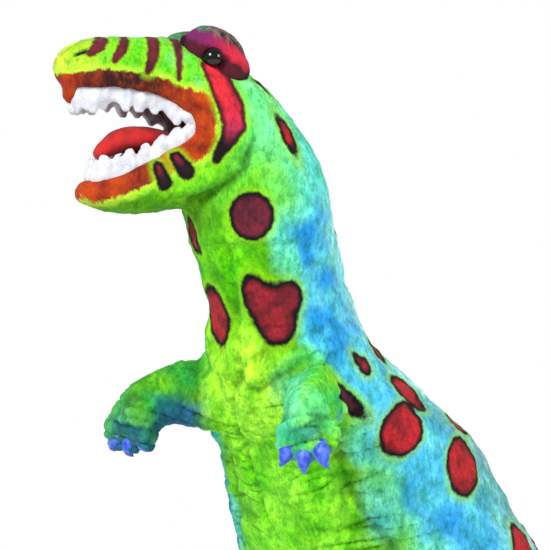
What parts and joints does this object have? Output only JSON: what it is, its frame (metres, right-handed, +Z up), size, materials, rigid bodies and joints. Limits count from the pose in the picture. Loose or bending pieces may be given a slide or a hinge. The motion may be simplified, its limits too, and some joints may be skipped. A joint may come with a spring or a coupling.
{
  "type": "stuffed dinosaur",
  "caption": "Large standing plush dinosaur with an open toothed mouth, short arms, a long neck on a bendable wire and a tail that it rests on.",
  "frame": {"origin": "centre of the bounding box, on the floor that the feet stand on", "axes": "+Z up, the chest faces -Y, the toy's left is +X"},
  "size_m": [0.3596, 0.9951, 0.997],
  "materials": {
    "green_plush": "short pile plush",
    "lime_plush": "short pile plush",
    "blue_plush": "short pile plush",
    "brow_plush": "short pile plush",
    "maroon_felt": "matte",
    "white_felt": "matte",
    "red_felt": "matte",
    "blue_satin": "soft satin sheen",
    "stuffing": "matte",
    "black_plastic": "glossy",
    "white_plastic": "matte",
    "steel_wire": "brushed",
    "pellet_cloth": "matte"
  },
  "bodies": {
    "torso": {"torso_skin": "blue_plush", "belly_panel": "lime_plush", "torso_stuffing": "stuffing", "spine_wire": "steel_wire", "left_leg_skin": "green_plush", "left_leg_stuffing": "stuffing", "left_leg_wire": "steel_wire", "left_pellet_bag": "pellet_cloth", "left_sole": "green_plush", "left_foot_claw_1": "blue_satin", "left_foot_claw_2": "blue_satin", "left_foot_claw_3": "blue_satin", "right_leg_skin": "green_plush", "right_leg_stuffing": "stuffing", "right_leg_wire": "steel_wire", "right_pellet_bag": "pellet_cloth", "right_sole": "green_plush", "right_foot_claw_1": "blue_satin", "right_foot_claw_2": "blue_satin", "right_foot_claw_3": "blue_satin"},
    "neck": {"neck_skin": "blue_plush", "neck_stuffing": "stuffing", "neck_wire": "steel_wire"},
    "head": {"head_skin": "green_plush", "palate": "maroon_felt", "head_stuffing": "stuffing", "head_wire": "steel_wire", "upper_teeth": "white_felt", "left_eye": "black_plastic", "left_eye_washer": "white_plastic", "left_brow": "brow_plush", "right_eye": "black_plastic", "right_eye_washer": "white_plastic", "right_brow": "brow_plush"},
    "jaw": {"jaw_skin": "green_plush", "mouth_floor": "maroon_felt", "jaw_stuffing": "stuffing", "lower_teeth": "white_felt", "tongue": "red_felt"},
    "arm_left": {"left_arm_skin": "green_plush", "left_arm_stuffing": "stuffing", "left_hand_claw_1": "blue_satin", "left_hand_claw_2": "blue_satin", "left_hand_claw_3": "blue_satin"},
    "arm_right": {"right_arm_skin": "green_plush", "right_arm_stuffing": "stuffing", "right_hand_claw_1": "blue_satin", "right_hand_claw_2": "blue_satin", "right_hand_claw_3": "blue_satin"},
    "tail": {"tail_skin": "blue_plush", "tail_stuffing": "stuffing", "tail_wire": "steel_wire"},
    "tail_end": {"tail_end_skin": "blue_plush", "tail_end_stuffing": "stuffing", "tail_end_wire": "steel_wire"}
  },
  "joints": [
    {"name": "neck_bend", "type": "hinge", "parent": "torso", "child": "neck", "pos_m": [0, -0.25, 0.678], "axis": [1, 0, 0], "range_deg": [-15, 10], "deforming": ["neck_skin", "torso_skin", "belly_panel"]},
    {"name": "head_turn", "type": "hinge", "parent": "neck", "child": "head", "pos_m": [0, -0.301, 0.802], "axis": [0, 0, 1], "range_deg": [-15, 40], "stiffness_Nm_per_rad": 0.2, "deforming": ["neck_skin", "head_skin"]},
    {"name": "jaw_open", "type": "hinge", "parent": "head", "child": "jaw", "pos_m": [-0.0371, -0.3627, 0.897], "axis": [0.8572, -0.515, 0], "range_deg": [-22, 8], "stiffness_Nm_per_rad": 1, "deforming": ["jaw_skin", "head_skin"]},
    {"name": "left_arm_swing", "type": "hinge", "parent": "torso", "child": "arm_left", "pos_m": [0.076, -0.3, 0.617], "axis": [0.8829, 0.4695, 0], "range_deg": [-30, 12], "stiffness_Nm_per_rad": 0.3, "deforming": ["left_arm_skin", "torso_skin", "belly_panel"]},
    {"name": "right_arm_swing", "type": "hinge", "parent": "torso", "child": "arm_right", "pos_m": [-0.076, -0.3, 0.617], "axis": [0.6691, -0.7431, 0], "range_deg": [-30, 12], "stiffness_Nm_per_rad": 0.3, "deforming": ["right_arm_skin", "torso_skin", "belly_panel"]},
    {"name": "tail_swing", "type": "hinge", "parent": "torso", "child": "tail", "pos_m": [0, 0.066, 0.264], "axis": [0, 0, 1], "range_deg": [-20, 20], "stiffness_Nm_per_rad": 2, "deforming": ["tail_skin", "torso_skin"]},
    {"name": "tail_end_swing", "type": "hinge", "parent": "tail", "child": "tail_end", "pos_m": [0, 0.26, 0.116], "axis": [0, 0, 1], "range_deg": [-25, 25], "stiffness_Nm_per_rad": 0.5, "deforming": ["tail_end_skin", "tail_skin"]}
  ]
}
